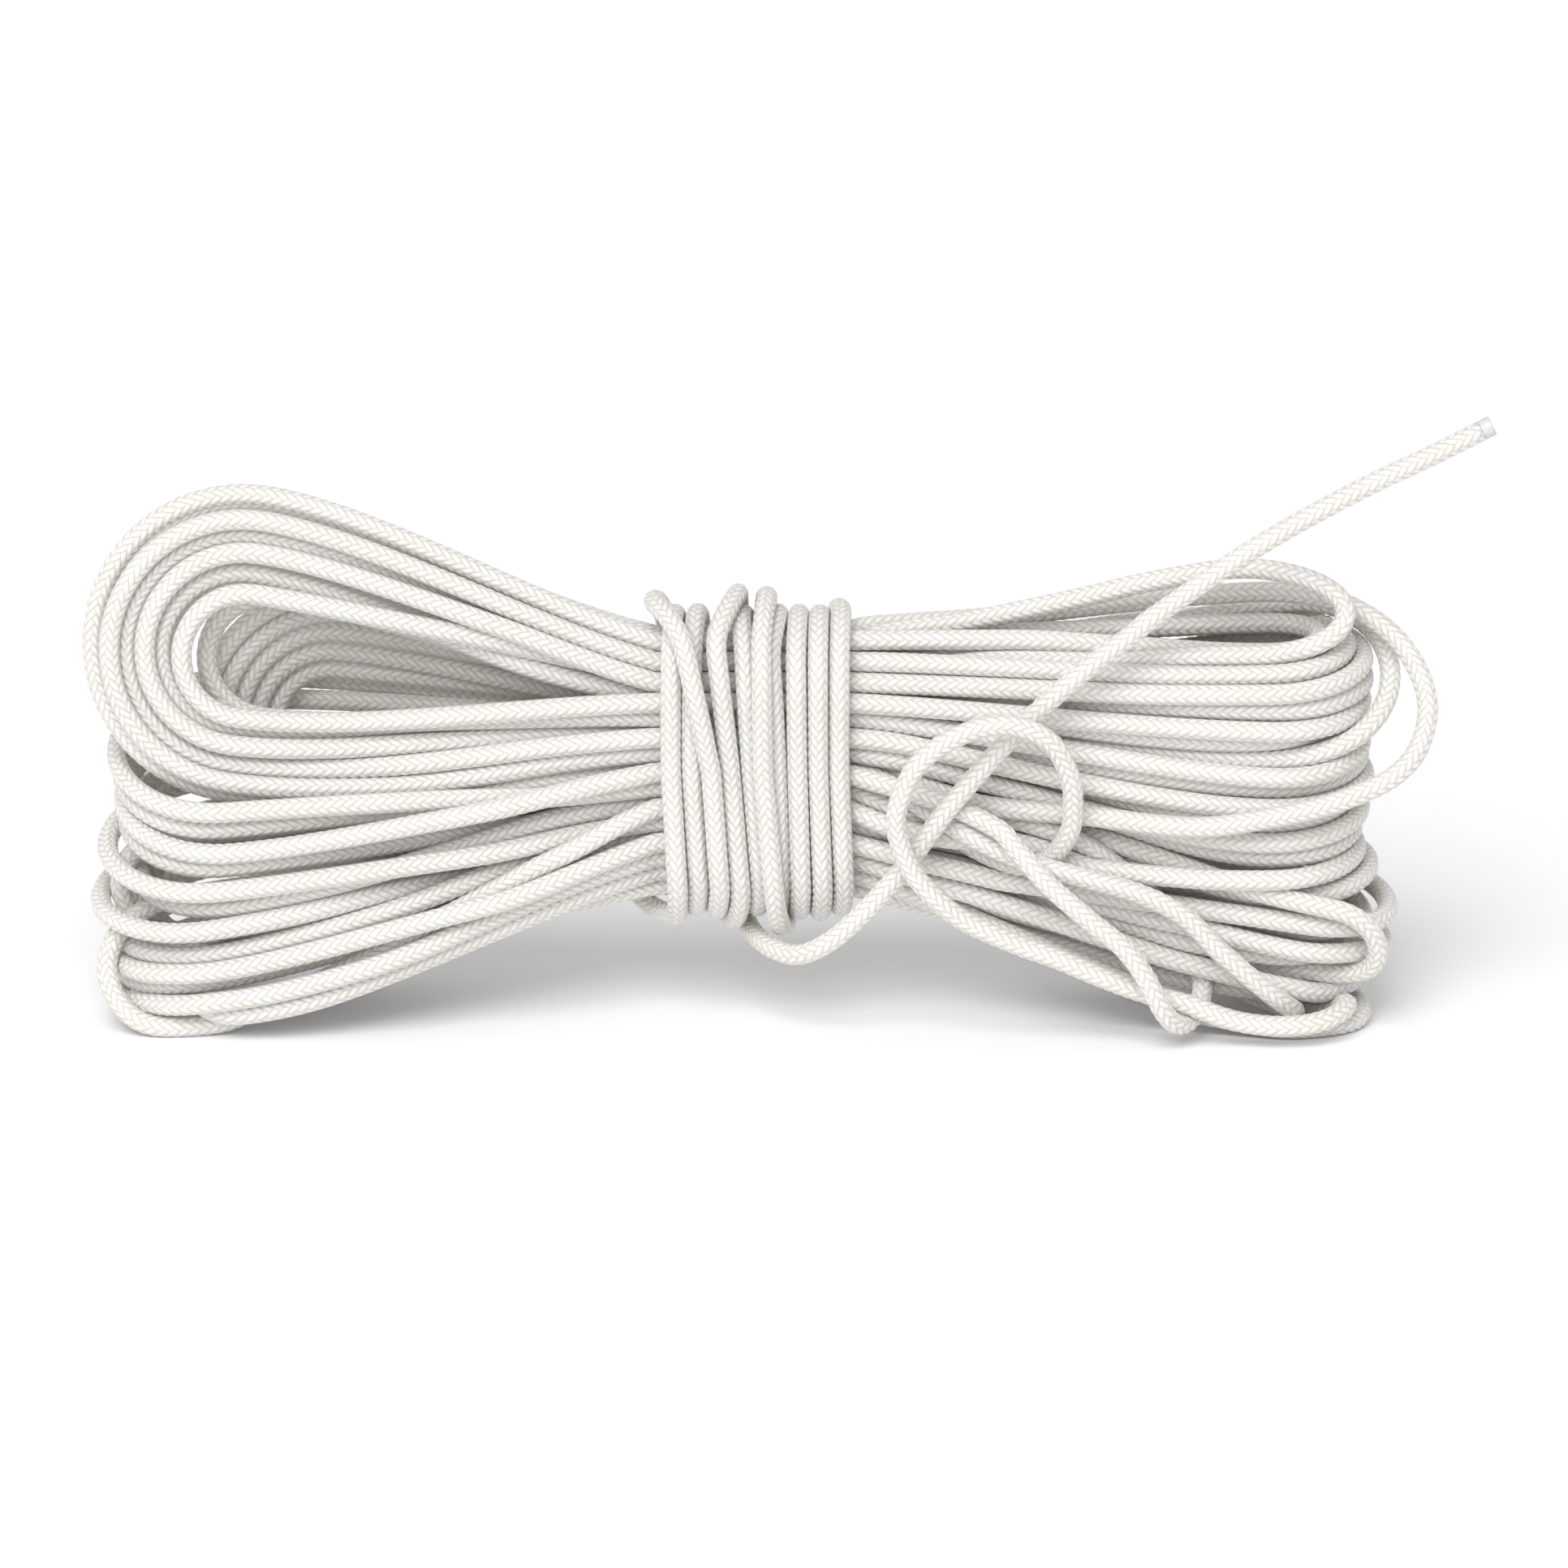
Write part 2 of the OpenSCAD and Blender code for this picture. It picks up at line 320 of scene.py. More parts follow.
def right_loops(rng):
    # The two stray loops, the slack ring, and the loop that lies beside the stray ones.
    loops = [
        Loop(RIGHT, [(0.0, 0.110), (-0.010, 0.105)], route=SMALL_STRAY + SMALL_STRAY_BACK),
        Loop(RIGHT, [(0.007, 0.110), (-EDGE_Y, 0.070)], route=LARGE_STRAY + LARGE_STRAY_BACK),
        Loop(RIGHT, [(-EDGE_Y, 0.062), (0.006, 0.040)], route=RING_LEAD + SLACK_RING + RING_RETURN),
        Loop(RIGHT, [(-0.012, 0.088), (0.007, 0.105)], (0.144, -0.004, 0.097), 0.0265, 2, (0, 0.75, 0.65)),
    ]
    # Two loops on top of the stack, one inside the other.
    for radius, z in ((0.0210, 0.1095), (0.0140, 0.1100)):
        entries = [(-0.006, 0.108), (0.006, 0.108)]
        loops.append(Loop(RIGHT, entries, (0.138, 0.0, z), radius, 2, (0, 1, 0.10)))
    # The stack, each loop turning from the front to the back, wide and narrow in turn.
    for k in range(STACK_LOOPS):
        radius = STACK_R - STACK_STEP * (k % 2)
        centre = (0.1365 + 0.002 * (k % 2) + rng.normal(0, 0.002), 0, 0.1045 - STACK_PITCH * k)
        y = EDGE_Y - EDGE_STEP * (k % 2)
        z = 0.106 - 0.0045 * k
        loops.append(Loop(RIGHT, [(-y, z), (y, z)], centre, radius, 0, (0, 1, 0.14)))
    # Loops that come down to the floor.
    for k in range(RIGHT_FLOOR_LOOPS):
        radius = RIGHT_FLOOR_R - RIGHT_FLOOR_STEP * (k % 2)
        centre = (0.147 - 0.002 * k, 0.002 * (k % 2), 0.0355 - RIGHT_FLOOR_PITCH * k)
        y = 0.012 - EDGE_STEP * (k % 2)
        z = 0.050 - 0.0022 * k
        loops.append(Loop(RIGHT, [(-y, z), (y, z)], centre, radius, -11 - k, (0, 1, 0.10)))
    # Two upright loops in front of them.
    for k in range(2):
        centre = (0.151 - 0.005 * k, -0.021 + 0.009 * k, 0.0235 - 0.0015 * k)
        entries = [(-0.010, 0.056 - 0.004 * k), (-0.006, 0.044 - 0.004 * k)]
        loops.append(Loop(RIGHT, entries, centre, 0.0160, -13, (0, 0.5, -1)))
    loops.append(Loop(RIGHT, [(-EDGE_Y, 0.068), (-0.008, 0.056)], route=FIRST_NARROW))
    loops.append(Loop(RIGHT, [(-EDGE_Y, 0.062), (-0.006, 0.046)], route=SECOND_NARROW))
    return loops


NO_GAIN = 1e-12  # a swap that saves less is only rounding


def take_slots(loops, slots, taken):
    """Gives each loop the free places in the waist nearest to where it wants to enter: first one
    entry after another, then by swapping pairs for as long as that helps."""
    free = np.array([i for i in range(len(slots)) if i != taken])
    entries = np.vstack([loop.entries for loop in loops])
    cost = np.sum((entries[:, None, :] - slots[free][None, :, :]) ** 2, axis=2)
    chosen = np.full(len(entries), -1)
    open_cost = cost.copy()
    for entry in np.argsort(cost.min(axis=1), kind="stable"):
        chosen[entry] = int(np.argmin(open_cost[entry]))
        open_cost[:, chosen[entry]] = np.inf
    better = True
    while better:
        better = False
        for a in range(len(entries)):
            for b in range(a):
                now = cost[a, chosen[a]] + cost[b, chosen[b]]
                swapped = cost[a, chosen[b]] + cost[b, chosen[a]]
                if swapped < now - NO_GAIN:
                    chosen[a], chosen[b] = chosen[b], chosen[a]
                    better = True
    for i, loop in enumerate(loops):
        loop.slots = [int(free[chosen[2 * i]]), int(free[chosen[2 * i + 1]])]


def follow(lefts, rights, slot):
    """The loops in the order in which the line runs through them, as (slot at the waist, loop,
    whether it is run backwards), and the slot where the line runs out of loops."""
    tables = [{s: (loop, end) for loop in loops for end, s in enumerate(loop.slots)}
              for loops in (lefts, rights)]
    order = []
    while slot in tables[len(order) % 2]:
        loop, end = tables[len(order) % 2][slot]
        order.append((slot, loop, end == 1))
        slot = loop.slots[1 - end]
    return order, slot


def join_up(lefts, rights, start, slots):
    """Swaps ends between neighbouring loops until all of them make one line."""
    order, last = follow(lefts, rights, start)
    while len(order) < len(lefts) + len(rights):
        reached = {id(loop) for _, loop, _ in order}
        choices = []
        for group in (lefts, rights):
            inside = [loop for loop in group if id(loop) in reached and loop.route is None]
            outside = [loop for loop in group if id(loop) not in reached and loop.route is None]
            choices += [(np.linalg.norm(slots[a.slots[end]] - slots[b.slots[end]]), a, b, end)
                        for a in inside for b in outside for end in (0, 1)]
        _, a, b, end = min(choices, key=lambda choice: choice[0])
        a.slots[end], b.slots[end] = b.slots[end], a.slots[end]
        order, last = follow(lefts, rights, start)
    return order, last


def nearest_slot(slots, y, z):
    return int(np.argmin(np.sum((slots - (y, z)) ** 2, axis=1)))


FIRST_PLACE = (EDGE_Y, 0.066)  # (y, z) in the waist of the strand that comes from the start end
LAST_PLACE = (EDGE_Y, 0.095)  # and of the strand that leads to the frapping


def lay_up():
    """The whole line's points from its start to the tail's tip, which of them the frapping holds, and
    the indices of the points in the middle of each waist strand and of the point where the tail begins."""
    rng = np.random.default_rng(SEED)
    slots = waist_slots()
    lefts = left_loops(rng)
    rights = right_loops(rng)
    start = nearest_slot(slots, *FIRST_PLACE)
    last = nearest_slot(slots, *LAST_PLACE)
    take_slots(lefts, slots, last)
    take_slots(rights, slots, start)
    order, last = join_up(lefts, rights, start, slots)

    parts = []
    held = []
    waist_x = np.arange(WAIST_LEFT, WAIST_RIGHT + POINT_GAP / 2, POINT_GAP)

    def add(points, is_held=False):
        parts.append(points)
        held.append(np.full(len(points), is_held))

    def add_waist(slot, to_left):
        run = np.array([(x, *slots[slot]) for x in waist_x])
        add(run[::-1] if to_left else run, True)

    first = through(START_END[:0:-1] + [(WAIST_RIGHT, *slots[start])])
    add(np.vstack([first[0] + SEAL_LEN * unit(first[0] - first[1]), first[:-1]]))
    waist_at = []
    for slot, loop, backwards in order:
        waist_at.append(sum(map(len, parts)) + len(waist_x) // 2)
        add_waist(slot, loop.side == LEFT)
        line = loop.line(slots)
        add((line[::-1] if backwards else line)[1:-1])
    waist_at.append(sum(map(len, parts)) + len(waist_x) // 2)
    add_waist(last, True)
    turns = frapping_line()
    add(through([(WAIST_LEFT, *slots[last]), *FRAPPING_LEAD, turns[0]])[1:-1])
    add(turns)
    tail_at = sum(map(len, parts))
    tail = through([turns[-1], *TAIL_ROOT, *TAIL])
    add(np.vstack([tail[1:], tail[-1] + SEAL_LEN * unit(tail[-1] - tail[-2])]))
    return np.vstack(parts), np.concatenate(held), waist_at, tail_at


# ---- Settling: strands push each other apart until they hardly overlap ----

SETTLE_ROUNDS = 160
SHAPING_SHARE = 0.75  # this part of the rounds smooths strongly, the rest lightly and eases tight bends
STRONG_SMOOTHING = 0.5
LIGHT_SMOOTHING = 0.25
PAIRS_EVERY = 6  # rounds between two searches for stretches that are near each other
PAIRS_REACH = LINE_D + 1.6 * POINT_GAP  # how near they are, from middle to middle
NEIGHBOURS = 4  # stretches so few places apart along the line don't push each other
CONTACT_GAP = 0.99 * LINE_D
SHORTEST = 1e-6  # the least distance that anything is divided by
LIGHTEST = 1e-9  # and the least weight
PUSH = 1.3  # more than 1, as smoothing takes part of each push back
RELAX = 0.997  # how much of the moves is kept from one shaping round to the next
TIGHTEST = 2.2 * LINE_D  # bends with a smaller radius are eased
EASING_PASSES = 4  # in each of the last rounds
GRID = 2048  # cells along each axis of the search grid
GRID_MIDDLE = 512


def near_pairs(points, reach):
    """Pairs of points nearer than reach that aren't neighbours along the line."""
    cell = np.floor(points / reach).astype(np.int64) + GRID_MIDDLE
    key = (cell[:, 0] * GRID + cell[:, 1]) * GRID + cell[:, 2]
    order = np.argsort(key, kind="stable")
    ranked = key[order]
    steps = [(i * GRID + j) * GRID + k for i in (-1, 0, 1) for j in (-1, 0, 1) for k in (-1, 0, 1)]
    firsts = []
    seconds = []
    for step in steps:
        low = np.searchsorted(ranked, key + step, "left")
        count = np.searchsorted(ranked, key + step, "right") - low
        first = np.repeat(np.arange(len(points)), count)
        begin = np.concatenate([[0], np.cumsum(count)[:-1]])
        second = order[np.repeat(low - begin, count) + np.arange(len(first))]
        keep = second > first + NEIGHBOURS
        first, second = first[keep], second[keep]
        keep = np.sum((points[first] - points[second]) ** 2, axis=1) < reach**2
        firsts.append(first[keep])
        seconds.append(second[keep])
    return np.concatenate(firsts), np.concatenate(seconds)


def push_apart(points, pairs, weight):
    """How far each point moves so that no two stretches of line are nearer than the contact gap.
    weight is 0 for the points that stay where they are and 1 for the others."""
    # s and t are where the two stretches of a pair are nearest to each other, from 0 to 1.
    i, j = pairs
    u = points[i + 1] - points[i]
    v = points[j + 1] - points[j]
    w = points[i] - points[j]
    a, b, c = (np.sum(m * n, axis=1) for m, n in ((u, u), (u, v), (v, v)))
    d = np.sum(u * w, axis=1)
    e = np.sum(v * w, axis=1)
    s = np.clip((b * e - c * d) / np.maximum(a * c - b * b, 1e-12 * a * c + 1e-18), 0, 1)
    t = np.clip((b * s + e) / c, 0, 1)
    s = np.clip((b * t - d) / a, 0, 1)
    apart = w + s[:, None] * u - t[:, None] * v
    distance = np.linalg.norm(apart, axis=1)
    hit = distance < CONTACT_GAP
    i, j, s, t, apart = i[hit], j[hit], s[hit], t[hit], apart[hit]
    distance = np.maximum(distance[hit], SHORTEST)
    push = apart * ((CONTACT_GAP - distance) / distance)[:, None]
    mine = (1 - s) * weight[i] + s * weight[i + 1]
    theirs = (1 - t) * weight[j] + t * weight[j + 1]
    total = np.maximum(mine + theirs, LIGHTEST)
    move = np.zeros_like(points)
    hits = np.zeros(len(points))
    for index, share in ((i, (1 - s) * weight[i]), (i + 1, s * weight[i + 1]),
                         (j, (t - 1) * weight[j]), (j + 1, -t * weight[j + 1])):
        share = share / total
        hits += np.bincount(index, np.abs(share), len(points))
        for axis in range(3):
            move[:, axis] += np.bincount(index, push[:, axis] * share, len(points))
    return move / np.maximum(hits, 1.0)[:, None]


def ease(points):
    """How far each point moves to soften the bends that are too tight for the line."""
    steps = np.diff(points, axis=0)
    lengths = np.linalg.norm(steps, axis=1)[:, None]
    ways = steps / lengths
    bend = np.linalg.norm(np.diff(ways, axis=0), axis=1) / (lengths[1:, 0] + lengths[:-1, 0]) * 2
    tight = np.zeros(len(points))
    tight[1:-1] = bend > 1 / TIGHTEST
    tight = np.convolve(tight, np.ones(5), "same") > 0  # two points to either side of it as well
    move = np.zeros_like(points)
    # Towards the smooth curve through the four neighbours, which keeps a loop's size.
    p = points
    move[2:-2] = (4 * (p[1:-3] + p[3:-1]) - 6 * p[2:-2] - p[:-4] - p[4:]) / 16
    return move * tight[:, None]


def settle(line, held):
    """Moves the strands clear of each other and of the floor. The moves are smoothed along the line,
    as its stiffness does, so that the loops keep their shape."""
    weight = np.where(held, 0.0, 1.0)
    shift = np.zeros_like(line)
    for turn in range(SETTLE_ROUNDS):
        points = line + shift
        if turn % PAIRS_EVERY == 0:
            pairs = near_pairs((points[1:] + points[:-1]) / 2, PAIRS_REACH)
        shift += PUSH * push_apart(points, pairs, weight) * weight[:, None]
        shift[:, 2] = np.maximum(shift[:, 2], LINE_D / 2 - line[:, 2])
        shaping = turn < SHAPING_SHARE * SETTLE_ROUNDS
        smoothing = STRONG_SMOOTHING if shaping else LIGHT_SMOOTHING
        for _ in range(2 if shaping else 1):
            mean = shift.copy()
            mean[1:-1] = (shift[2:] + shift[:-2]) / 2
            shift += (mean - shift) * smoothing * weight[:, None]
        if shaping:
            shift *= RELAX
        else:
            for _ in range(EASING_PASSES):
                shift += ease(line + shift)
    return line + shift


# ---- The braid ----

COLUMNS = 8  # cover strands wound in each direction, two over two
PICK = 0.0029  # along the line, between two neighbouring strands wound the same way
RELIEF = 0.00036  # how deep the dips between the strands are
DIVING_HEIGHT = 0.35  # of a strand's middle where it dives under another, as part of its full height
FLOAT_HEIGHT = 0.65  # what it gains on the way over two others
SIDES = 32  # points round the line
RING_GAP = 0.00073  # between two rings of points along it


def braid_height(around, along):
    """Height of the braid's surface, from 0 in the dips to 1. around is in turns, along in metres."""
    right_handed = around * COLUMNS - along / PICK
    left_handed = around * COLUMNS + along / PICK
    i = np.floor(right_handed)
    j = np.floor(left_handed)
    crossing = (i + j) % 4
    first_on_top = crossing < 2
    f = right_handed - i
    g = left_handed - j
    across = np.where(first_on_top, g, f)
    float_part = np.where(first_on_top, crossing + f, crossing - 2 + g) / 2
    round_over = np.sqrt(np.clip(1 - (2 * across - 1) ** 2, 0, 1))
    lift = np.sqrt(np.clip(np.sin(math.pi * float_part), 0, 1))
    return round_over * (DIVING_HEIGHT + FLOAT_HEIGHT * lift)


def directions(line):
    along = np.gradient(line, axis=0)
    return along / np.linalg.norm(along, axis=1)[:, None]


def sideways(line):
    """Vectors square to the line that turn with it and don't twist round it."""
    along = directions(line)
    side = np.zeros_like(line)
    # It may begin in any direction that isn't the line's own.
    before = np.array([0.0, 0.0, 1.0]) if abs(along[0, 2]) < 0.9 else np.array([0.0, 1.0, 0.0])
    for i, a in enumerate(along):
        before = before - (before @ a) * a
        before = before / math.sqrt(before @ before)
        side[i] = before
    return side


# ---- The visual pieces ----

STRANDS_PER_PIECE = 5  # waist strands from one cut of the line to the next

SEAL_FADE = 0.0015  # the braid melts away over this length
SEAL_START = 0.985  # width of a melted end where it begins, in line diameters
SEAL_TAPER = 0.04  # how much narrower it is at its face
SEAL_UNEVEN = 0.00004  # standard deviation of its points
TIP_RINGS = 16
# The rings of its face: width, as a part of the width round the face, and how far it bulges out.
FACE_RINGS = ((0.97, 0.00010), (0.90, 0.00016), (0.75, 0.00014), (0.5, 0.00006), (0.2, 0.0))

VIEW_CENTRE = (-0.0007, 0.0, 0.067)
VIEW_WIDTH = 0.446  # what the picture shows across at the view's centre
VIEW_ELEVATION = 16
LENS = 300  # long, as the photo shows next to no perspective
SENSOR = 36


def add_camera():
    angle = math.radians(VIEW_ELEVATION)
    back = Vector((0, -math.cos(angle), math.sin(angle)))
    data = bpy.data.cameras.new("camera")
    data.lens = LENS
    data.sensor_width = SENSOR
    camera = bpy.data.objects.new("camera", data)
    camera.location = Vector(VIEW_CENTRE) + back * VIEW_WIDTH * LENS / SENSOR
    camera.rotation_euler = back.to_track_quat("Z", "Y").to_euler()
    bpy.context.scene.collection.objects.link(camera)
    bpy.context.scene.camera = camera


def ring_mesh(name, points, marks, rings, material):
    """A tube from rings of points, closed at both ends. marks is kept on the points for the material:
    the cosine and sine of the place round the line, and the distance along it."""
    sides = len(points) // rings
    mesh = bpy.data.meshes.new(name)
    ring = np.arange(rings - 1)[:, None] * sides
    k = np.arange(sides)[None, :]
    after = (k + 1) % sides
    walls = np.stack([ring + k, ring + after, ring + sides + after, ring + sides + k], axis=2).reshape(-1, 4)
    caps = np.concatenate([np.arange(sides)[::-1], (rings - 1) * sides + np.arange(sides)])
    corners = np.concatenate([walls.ravel(), caps])
    starts = np.concatenate([np.arange(len(walls)) * 4, walls.size + np.array([0, sides])])
    mesh.vertices.add(len(points))
    mesh.vertices.foreach_set("co", points.astype(np.float32).ravel())
    mesh.loops.add(len(corners))
    mesh.loops.foreach_set("vertex_index", corners.astype(np.int32))
    mesh.polygons.add(len(starts))
    mesh.polygons.foreach_set("loop_start", starts.astype(np.int32))
    mesh.polygons.foreach_set("use_smooth", np.ones(len(starts), bool))
    mesh.update(calc_edges=True)
    mesh.validate()
    attribute = mesh.attributes.new("braid", "FLOAT_VECTOR", "POINT")
    attribute.data.foreach_set("vector", marks.astype(np.float32).ravel())
    mesh.materials.append(material)
    obj = bpy.data.objects.new(name, mesh)
    bpy.context.scene.collection.objects.link(obj)
    return obj


class Sweep:
    """The whole line, finely divided, with the directions that its surface is built on."""

    def __init__(self, line):
        self.line = through(line, RING_GAP)
        self.at = distances_along(self.line)
        self.along = directions(self.line)
        coarse = distances_along(line)
        scaled = coarse * self.at[-1] / coarse[-1]
        side = sideways(line)
        side = np.stack([np.interp(self.at, scaled, side[:, k]) for k in range(3)], axis=1)
        side -= np.sum(side * self.along, axis=1)[:, None] * self.along
        self.side = side / np.linalg.norm(side, axis=1)[:, None]
        self.other = np.cross(self.along, self.side)
        self.ring_of = np.searchsorted(self.at, scaled)

    def surface(self, rings, centres=None, scale=None, relief=None):
        """Points and marks of the braided surface on these rings. A melted end gives its own centres,
        and for each ring how wide it is and how much of the braid's relief is left."""
        around = np.arange(SIDES) / SIDES
        angle = 2 * math.pi * around
        at = self.at[rings][:, None]
        height = braid_height(around[None, :], at)
        depth = RELIEF if relief is None else RELIEF * relief[:, None]
        radius = LINE_D / 2 - depth * (1 - height)
        if scale is not None:
            radius = radius * scale[:, None]
        spokes = (np.cos(angle)[None, :, None] * self.side[rings][:, None, :]
                  + np.sin(angle)[None, :, None] * self.other[rings][:, None, :])
        middle = self.line[rings] if centres is None else centres
        points = middle[:, None, :] + radius[:, :, None] * spokes
        marks = np.stack(np.broadcast_arrays(np.cos(angle)[None, :], np.sin(angle)[None, :], at), axis=2)
        return points.reshape(-1, 3), marks.reshape(-1, 3)


def braided_piece(name, sweep, first, last, material):
    rings = np.arange(first, last + 1)
    points, marks = sweep.surface(rings)
    return ring_mesh(name, points, marks, len(rings), material)


def sealed_tip(name, sweep, ring, direction, material):
    """The melted end of the line: the braid fades into a smooth skin with a blunt, uneven face.
    direction is 1 where the line ends and -1 where it starts."""
    t = np.linspace(0, 1, TIP_RINGS)
    centres = sweep.line[ring] + direction * (sweep.along[ring] * SEAL_LEN)[None, :] * t[:, None]
    fade = np.clip(1 - t * SEAL_LEN / SEAL_FADE, 0, 1)
    points, marks = sweep.surface(np.full(TIP_RINGS, ring), centres, SEAL_START - SEAL_TAPER * t, fade)
    width, bulge = np.array(FACE_RINGS).T
    face_count = len(FACE_RINGS)
    face_centres = centres[-1] + direction * sweep.along[ring] * bulge[:, None]
    face, face_marks = sweep.surface(np.full(face_count, ring), face_centres,
                                     (SEAL_START - SEAL_TAPER) * width, np.zeros(face_count))
    points = np.vstack([points, face])
    marks = np.vstack([marks, face_marks])
    rng = np.random.default_rng(SEED)
    points = points + rng.normal(0, SEAL_UNEVEN, points.shape)
    rings = TIP_RINGS + face_count
    if direction < 0:
        # Round the other way, so that the faces still look outwards.
        points = points.reshape(rings, SIDES, 3)[:, ::-1].reshape(-1, 3)
        marks = marks.reshape(rings, SIDES, 3)[:, ::-1].reshape(-1, 3)
    return ring_mesh(name, points, marks, rings, material)


# ---- Materials ----

WHITE = (1.0, 1.0, 1.0, 1)
CREAM = (0.99, 0.973, 0.943, 1)
# Painted shade: the braid's dips and slopes are coloured darker than the tops of its strands, for the shade
# that falls between them.
PAINTED_DIP_SHADE = (0.66, 0.634, 0.595, 1)
PAINTED_SLOPE_SHADE = (0.765, 0.748, 0.720, 1)
STRAND_COLOUR = (0.840, 0.832, 0.820, 1)
YARN_RIDGES = 4  # yarns that show across one strand of the cover
YARN_HEIGHT = 0.22  # in strand heights
BUMP_DEPTH = 0.0003
CREAM_SCALE = 14.0  # patches of a few centimetres
SEAL_DARK = (0.55, 0.54, 0.52, 1)
SEAL_LIGHT = (0.72, 0.71, 0.69, 1)
SEAL_GRAIN = 900.0
FLOOR_COLOUR = (0.98, 0.98, 0.985, 1)


class Nodes:
    """Short ways to add shader nodes."""

    def __init__(self, name):
        self.material = bpy.data.materials.new(name)
        self.material.use_nodes = True
        self.tree = self.material.node_tree
        self.shader = next(n for n in self.tree.nodes if n.type == "BSDF_PRINCIPLED")

    def add(self, kind, **settings):
        node = self.tree.nodes.new(kind)
        for key, value in settings.items():
            setattr(node, key, value)
        return node

    def put(self, value, socket):
        if isinstance(value, (int, float, tuple)):
            socket.default_value = value
        else:
            self.tree.links.new(value, socket)

    def math(self, operation, *values):
        node = self.add("ShaderNodeMath", operation=operation)
        for value, socket in zip(values, node.inputs):
            self.put(value, socket)
        return node.outputs[0]

    def mix(self, factor, a, b):
        node = self.add("ShaderNodeMix", data_type="FLOAT")
        for value, socket in ((factor, node.inputs[0]), (a, node.inputs[2]), (b, node.inputs[3])):
            self.put(value, socket)
        return node.outputs[0]

    def multiply(self, a, b):
        node = self.add("ShaderNodeMix", data_type="RGBA", blend_type="MULTIPLY")
        for value, socket in ((1.0, node.inputs[0]), (a, node.inputs[6]), (b, node.inputs[7])):
            self.put(value, socket)
        return node.outputs[2]

    def noise(self, scale):
        node = self.add("ShaderNodeTexNoise")
        node.inputs["Scale"].default_value = scale
        return node.outputs["Fac"]

    def ramp(self, value, stops):
        node = self.add("ShaderNodeValToRGB")
        ends = node.color_ramp.elements
        ends[0].position, ends[0].color = stops[0]
        ends[1].position, ends[1].color = stops[-1]
        for position, colour in stops[1:-1]:
            stop = ends.new(position)
            stop.color = colour
        self.put(value, node.inputs[0])
        return node.outputs["Color"]


def braid_nodes(nodes):
    """The braid's height and the place across a strand, worked out as in braid_height but without its
    square roots, so that the bumps are softer."""
    mark = nodes.add("ShaderNodeAttribute", attribute_name="braid")
    split = nodes.add("ShaderNodeSeparateXYZ")
    nodes.tree.links.new(mark.outputs["Vector"], split.inputs[0])
    around = nodes.math("MULTIPLY", nodes.math("ARCTAN2", split.outputs[1], split.outputs[0]),
                        COLUMNS / (2 * math.pi))
    around = nodes.math("ADD", around, float(COLUMNS))
    along = nodes.math("DIVIDE", split.outputs[2], PICK)
    right_handed = nodes.math("SUBTRACT", around, along)
    left_handed = nodes.math("ADD", around, along)
    i = nodes.math("FLOOR", right_handed)
    j = nodes.math("FLOOR", left_handed)
    crossing = nodes.math("FLOORED_MODULO", nodes.math("ADD", i, j), 4.0)
    second_on_top = nodes.math("GREATER_THAN", crossing, 1.5)
    f = nodes.math("SUBTRACT", right_handed, i)
    g = nodes.math("SUBTRACT", left_handed, j)
    across = nodes.mix(second_on_top, g, f)
    part = nodes.mix(second_on_top, nodes.math("ADD", crossing, f),
                     nodes.math("ADD", nodes.math("SUBTRACT", crossing, 2.0), g))
    lift = nodes.math("SINE", nodes.math("MULTIPLY", part, math.pi / 2))
    off_middle = nodes.math("SUBTRACT", nodes.math("MULTIPLY", across, 2.0), 1.0)
    round_over = nodes.math("SUBTRACT", 1.0, nodes.math("MULTIPLY", off_middle, off_middle))
    lift = nodes.math("ADD", nodes.math("MULTIPLY", lift, FLOAT_HEIGHT), DIVING_HEIGHT)
    return nodes.math("MULTIPLY", round_over, lift), across


def line_material():
    nodes = Nodes("braided_line")
    height, across = braid_nodes(nodes)
    yarns = nodes.math("ABSOLUTE", nodes.math("SINE", nodes.math("MULTIPLY", across, YARN_RIDGES * math.pi)))
    bump = nodes.add("ShaderNodeBump")
    bump.inputs["Strength"].default_value = 1.0
    bump.inputs["Distance"].default_value = BUMP_DEPTH
    detail = nodes.math("ADD", height, nodes.math("MULTIPLY", yarns, YARN_HEIGHT))
    nodes.put(detail, bump.inputs["Height"])
    nodes.put(bump.outputs[0], nodes.shader.inputs["Normal"])
    # Painted shade: the colour darkens with the braid's height, from the strands' tops down into the dips
    # between them.
    colour = nodes.ramp(height, [(0.0, PAINTED_DIP_SHADE), (0.45, PAINTED_SLOPE_SHADE), (0.9, STRAND_COLOUR)])
    cream = nodes.ramp(nodes.noise(CREAM_SCALE), [(0.40, WHITE), (0.62, CREAM)])
    nodes.put(nodes.multiply(colour, cream), nodes.shader.inputs["Base Color"])
    nodes.shader.inputs["Roughness"].default_value = 0.36
    nodes.shader.inputs["Sheen Weight"].default_value = 0.25
    nodes.shader.inputs["Subsurface Weight"].default_value = 0.5
    nodes.shader.inputs["Subsurface Radius"].default_value = (1.0, 0.85, 0.7)
    nodes.shader.inputs["Subsurface Scale"].default_value = 0.006
    return nodes.material


def seal_material():
    nodes = Nodes("sealed_end")
    colour = nodes.ramp(nodes.noise(SEAL_GRAIN), [(0.3, SEAL_DARK), (0.7, SEAL_LIGHT)])
    nodes.put(colour, nodes.shader.inputs["Base Color"])
    nodes.shader.inputs["Roughness"].default_value = 0.35
    return nodes.material


def floor_material():
    nodes = Nodes("floor")
    nodes.shader.inputs["Base Color"].default_value = FLOOR_COLOUR
    nodes.shader.inputs["Roughness"].default_value = 1.0
    nodes.shader.inputs["Specular IOR Level"].default_value = 0.0
    return nodes.material


# ---- The floor and the light ----

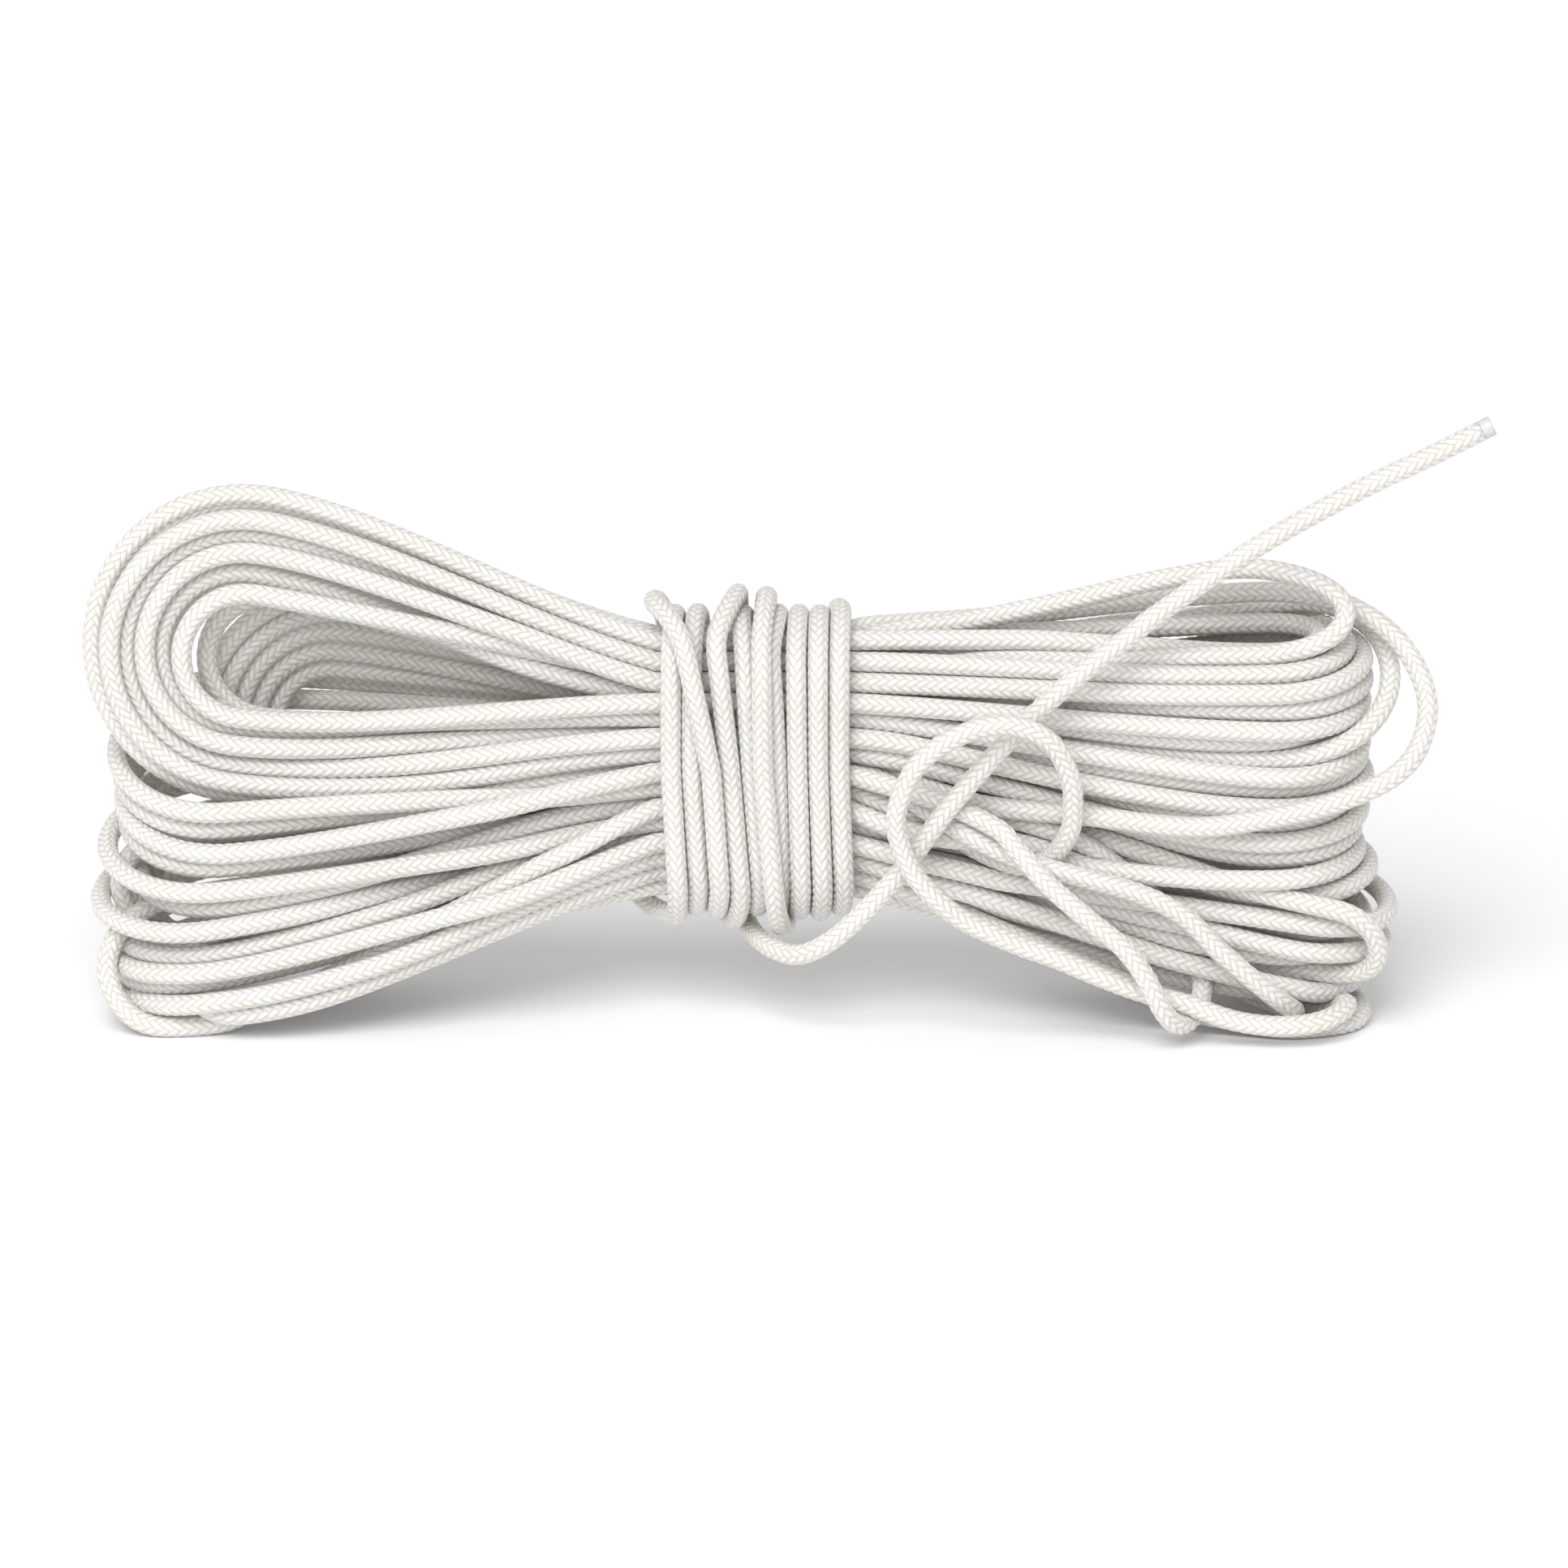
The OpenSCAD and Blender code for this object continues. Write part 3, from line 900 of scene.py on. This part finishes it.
FLOOR_SIZE = 24.0
WORLD_STRENGTH = 0.56
KEY_STRENGTH = 1.88
KEY_DIRECTION = (0.25, 0.9, -1.0)
FILL_STRENGTH = 0.60
FILL_DIRECTION = (0.20, 1.0, -0.32)
SOFTNESS = 40  # how wide each light looks from the object, in degrees


def add_sun(name, strength, direction):
    light = bpy.data.lights.new(name, "SUN")
    light.energy = strength
    light.angle = math.radians(SOFTNESS)
    sun = bpy.data.objects.new(name, light)
    sun.rotation_euler = Vector(direction).to_track_quat("-Z", "Y").to_euler()
    bpy.context.scene.collection.objects.link(sun)


def add_floor_and_light():
    half = FLOOR_SIZE / 2
    mesh = bpy.data.meshes.new("floor")
    mesh.from_pydata([(-half, -half, 0), (half, -half, 0), (half, half, 0), (-half, half, 0)], [],
                     [(0, 1, 2, 3)])
    mesh.materials.append(floor_material())
    floor = bpy.data.objects.new("floor", mesh)
    bpy.context.scene.collection.objects.link(floor)

    world = bpy.data.worlds.new("studio")
    world.use_nodes = True
    background = world.node_tree.nodes["Background"]
    background.inputs[0].default_value = WHITE
    background.inputs[1].default_value = WORLD_STRENGTH
    bpy.context.scene.world = world

    add_sun("key", KEY_STRENGTH, KEY_DIRECTION)
    add_sun("fill", FILL_STRENGTH, FILL_DIRECTION)


# ---- Everything together ----


# The CAD's solids stand for bundles of strands, and the line runs through all of them again and again.
# Each of these nodes is therefore replaced by one of the first stretches of the line.
NODES_OF_LOOPS = ("waist", "upper_left_bights", "lower_left_bights", "upper_right_bights",
                  "lower_right_bights", "small_stray_loop", "large_stray_loop", "slack_ring",
                  "start_end")


def build_line():
    line, held, waist_at, tail_at = lay_up()
    sweep = Sweep(settle(line, held))
    material = line_material()
    seal = seal_material()
    first = sweep.ring_of[1]
    last = sweep.ring_of[-2]
    # The cuts are hidden under the frapping. The last one is in the strand that leads to its turns.
    cuts = [first] + [sweep.ring_of[i] for i in waist_at[STRANDS_PER_PIECE :: STRANDS_PER_PIECE]]
    cuts[-1] = sweep.ring_of[waist_at[-1]]
    for n, (a, b) in enumerate(zip(cuts[:-1], cuts[1:])):
        piece = braided_piece(f"loops_{n + 1:02d}", sweep, a, b, material)
        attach(piece, "hank")
        if n < len(NODES_OF_LOOPS):
            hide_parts(NODES_OF_LOOPS[n])
    tail_ring = sweep.ring_of[tail_at]
    turns = braided_piece("frapping_turns", sweep, cuts[-1], tail_ring, material)
    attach(turns, "hank")
    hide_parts("frapping")

    tail = braided_piece("free_tail", sweep, tail_ring, last, material)
    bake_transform(tail)
    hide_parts("tail_root", "tail")

    tip = sealed_tip("tail_tip", sweep, last, 1.0, seal)
    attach(tip, "tail")
    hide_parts("tail_seal")
    tip = sealed_tip("start_tip", sweep, first, -1.0, seal)
    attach(tip, "hank")
    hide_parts("start_seal")


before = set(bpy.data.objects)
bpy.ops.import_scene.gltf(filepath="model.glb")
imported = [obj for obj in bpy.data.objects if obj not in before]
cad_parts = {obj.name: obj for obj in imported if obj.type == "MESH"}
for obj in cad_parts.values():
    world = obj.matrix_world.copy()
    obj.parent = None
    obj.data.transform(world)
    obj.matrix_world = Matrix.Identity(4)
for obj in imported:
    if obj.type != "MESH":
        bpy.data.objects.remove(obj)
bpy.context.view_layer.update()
add_camera()
build_line()
add_floor_and_light()
bpy.context.scene.view_settings.view_transform = "Standard"
